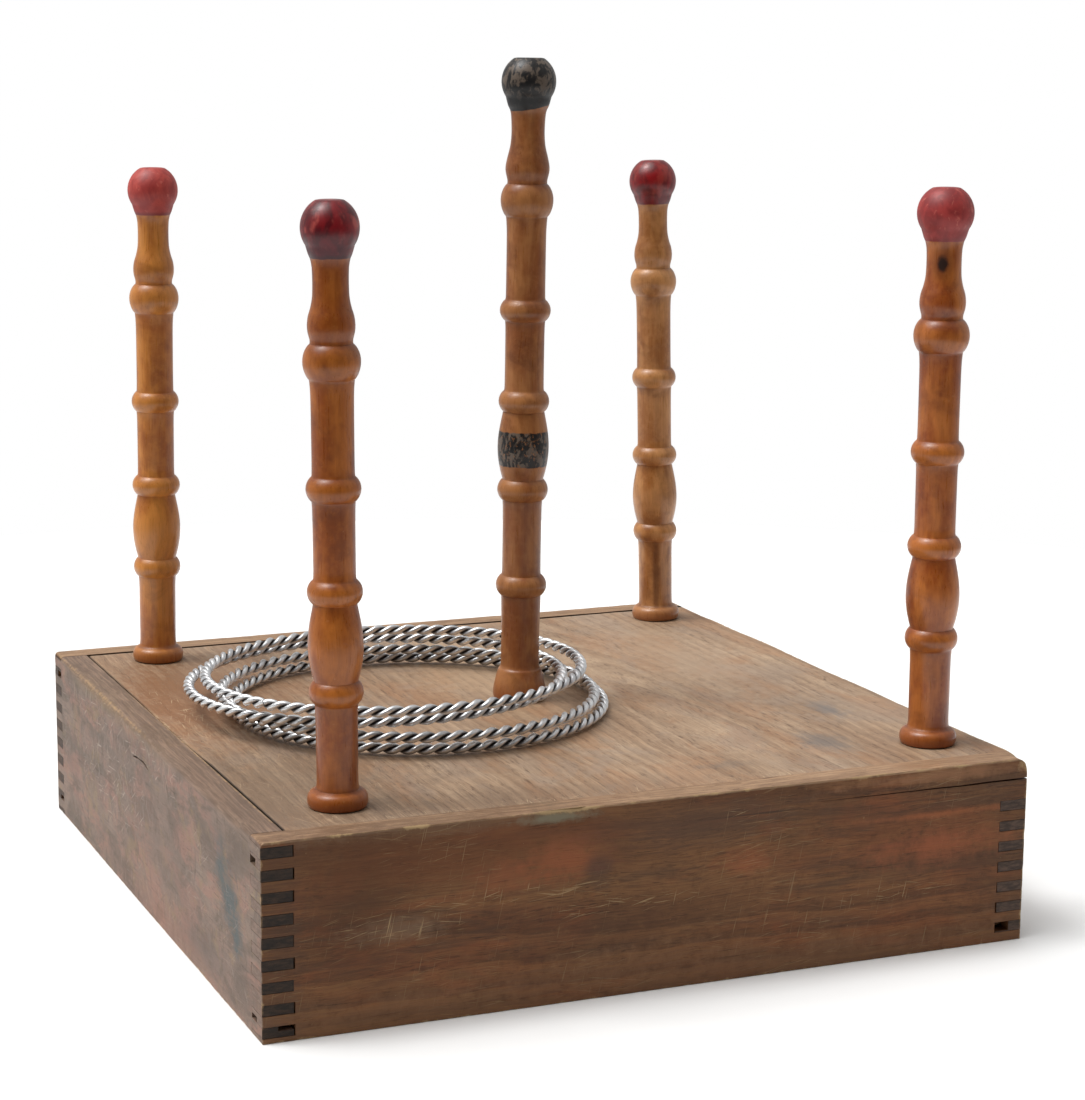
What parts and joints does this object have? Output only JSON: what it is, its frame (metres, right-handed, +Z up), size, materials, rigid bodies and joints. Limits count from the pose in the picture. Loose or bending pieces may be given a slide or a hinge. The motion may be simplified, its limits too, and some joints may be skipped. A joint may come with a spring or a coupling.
{
  "type": "ring toss set",
  "caption": "Finger-jointed wooden box whose sliding lid carries upright turned pegs with ball tops, with twisted-wire rings to throw over them.",
  "frame": {"origin": "centre of the box's footprint on the floor", "axes": "+Z up along the pegs, +X to the right along the front wall, the way the lid slides out, +Y to the back"},
  "size_m": [0.3556, 0.3556, 0.3876],
  "materials": {
    "box_wood": "weathered, worn dark stain",
    "bottom_wood": "bare, dry",
    "lid_wood": "weathered, worn stain",
    "peg_wood": "turned and varnished, satin",
    "ring_wire": "bright twisted wire with dark tarnish in the lay"
  },
  "bodies": {
    "box": {"front_wall": "box_wood", "back_wall": "box_wood", "left_wall": "box_wood", "right_wall": "box_wood", "bottom_board": "bottom_wood"},
    "lid": {"lid": "lid_wood"},
    "peg_centre": {"peg_centre": "peg_wood"},
    "peg_front_left": {"peg_front_left": "peg_wood"},
    "peg_front_right": {"peg_front_right": "peg_wood"},
    "peg_back_left": {"peg_back_left": "peg_wood"},
    "peg_back_right": {"peg_back_right": "peg_wood"},
    "ring_1": {"ring_1": "ring_wire"},
    "ring_2": {"ring_2": "ring_wire"},
    "ring_3": {"ring_3": "ring_wire"},
    "ring_4": {"ring_4": "ring_wire"}
  },
  "joints": [
    {"name": "lid_slide", "type": "slide", "parent": "box", "child": "lid", "axis": [1, 0, 0], "range_m": [0, 0.36]},
    {"name": "centre_peg_lift", "type": "slide", "parent": "lid", "child": "peg_centre", "axis": [0.0071, -0.0028, 1], "range_m": [0, 0.06]},
    {"name": "front_left_peg_lift", "type": "slide", "parent": "lid", "child": "peg_front_left", "axis": [-0.0078, 0.0031, 1], "range_m": [0, 0.06]},
    {"name": "front_right_peg_lift", "type": "slide", "parent": "lid", "child": "peg_front_right", "axis": [-0.003, 0.0012, 1], "range_m": [0, 0.06]},
    {"name": "back_left_peg_lift", "type": "slide", "parent": "lid", "child": "peg_back_left", "axis": [0.0056, -0.0022, 1], "range_m": [0, 0.06]},
    {"name": "back_right_peg_lift", "type": "slide", "parent": "lid", "child": "peg_back_right", "axis": [-0.022, 0.0087, 0.9997], "range_m": [0, 0.06]},
    {"name": "ring_1_lift", "type": "slide", "parent": "lid", "child": "ring_1", "axis": [0.0071, -0.0028, 1], "range_m": [0, 0.32]},
    {"name": "ring_2_lift", "type": "slide", "parent": "ring_1", "child": "ring_2", "axis": [0.0071, -0.0028, 1], "range_m": [0, 0.32]},
    {"name": "ring_3_lift", "type": "slide", "parent": "ring_2", "child": "ring_3", "axis": [0.0071, -0.0028, 1], "range_m": [0, 0.32]},
    {"name": "ring_4_lift", "type": "slide", "parent": "ring_3", "child": "ring_4", "axis": [0.0071, -0.0028, 1], "range_m": [0, 0.32]}
  ]
}
